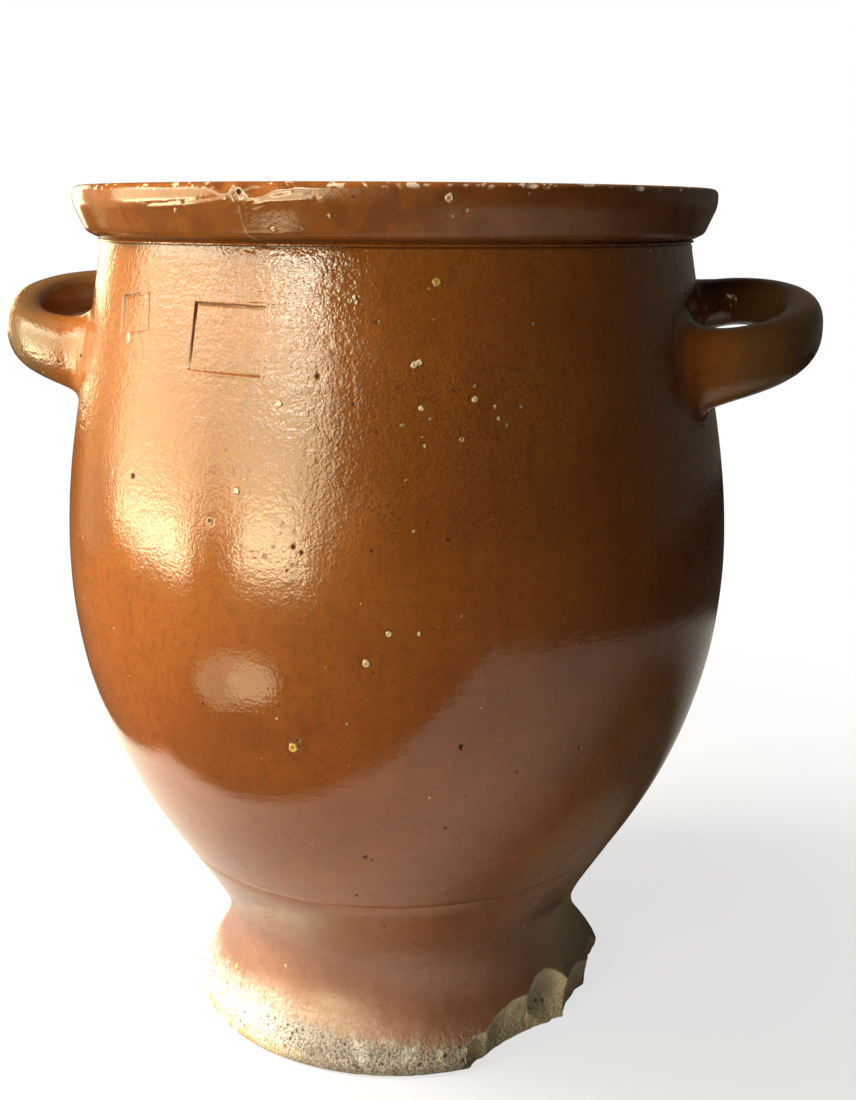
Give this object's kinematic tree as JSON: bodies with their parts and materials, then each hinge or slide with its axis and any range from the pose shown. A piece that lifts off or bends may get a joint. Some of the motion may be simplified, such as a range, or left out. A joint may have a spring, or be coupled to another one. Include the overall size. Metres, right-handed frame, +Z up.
{
  "type": "confit pot",
  "caption": "Tall glazed stoneware storage pot with a thick collar rim, swelling belly, flared foot and a loop handle on each shoulder, its foot chipped.",
  "frame": {"origin": "centre of the standing face, on the surface the pot stands on", "axes": "+Z up along the pot's turning axis; the two handles lie along X; the chipped side of the foot and the nicked side of the rim face -Y and +X"},
  "size_m": [0.367, 0.294, 0.37],
  "materials": {
    "stoneware": "glossy"
  },
  "bodies": {
    "root": {"confit_pot": "stoneware"}
  },
  "joints": []
}
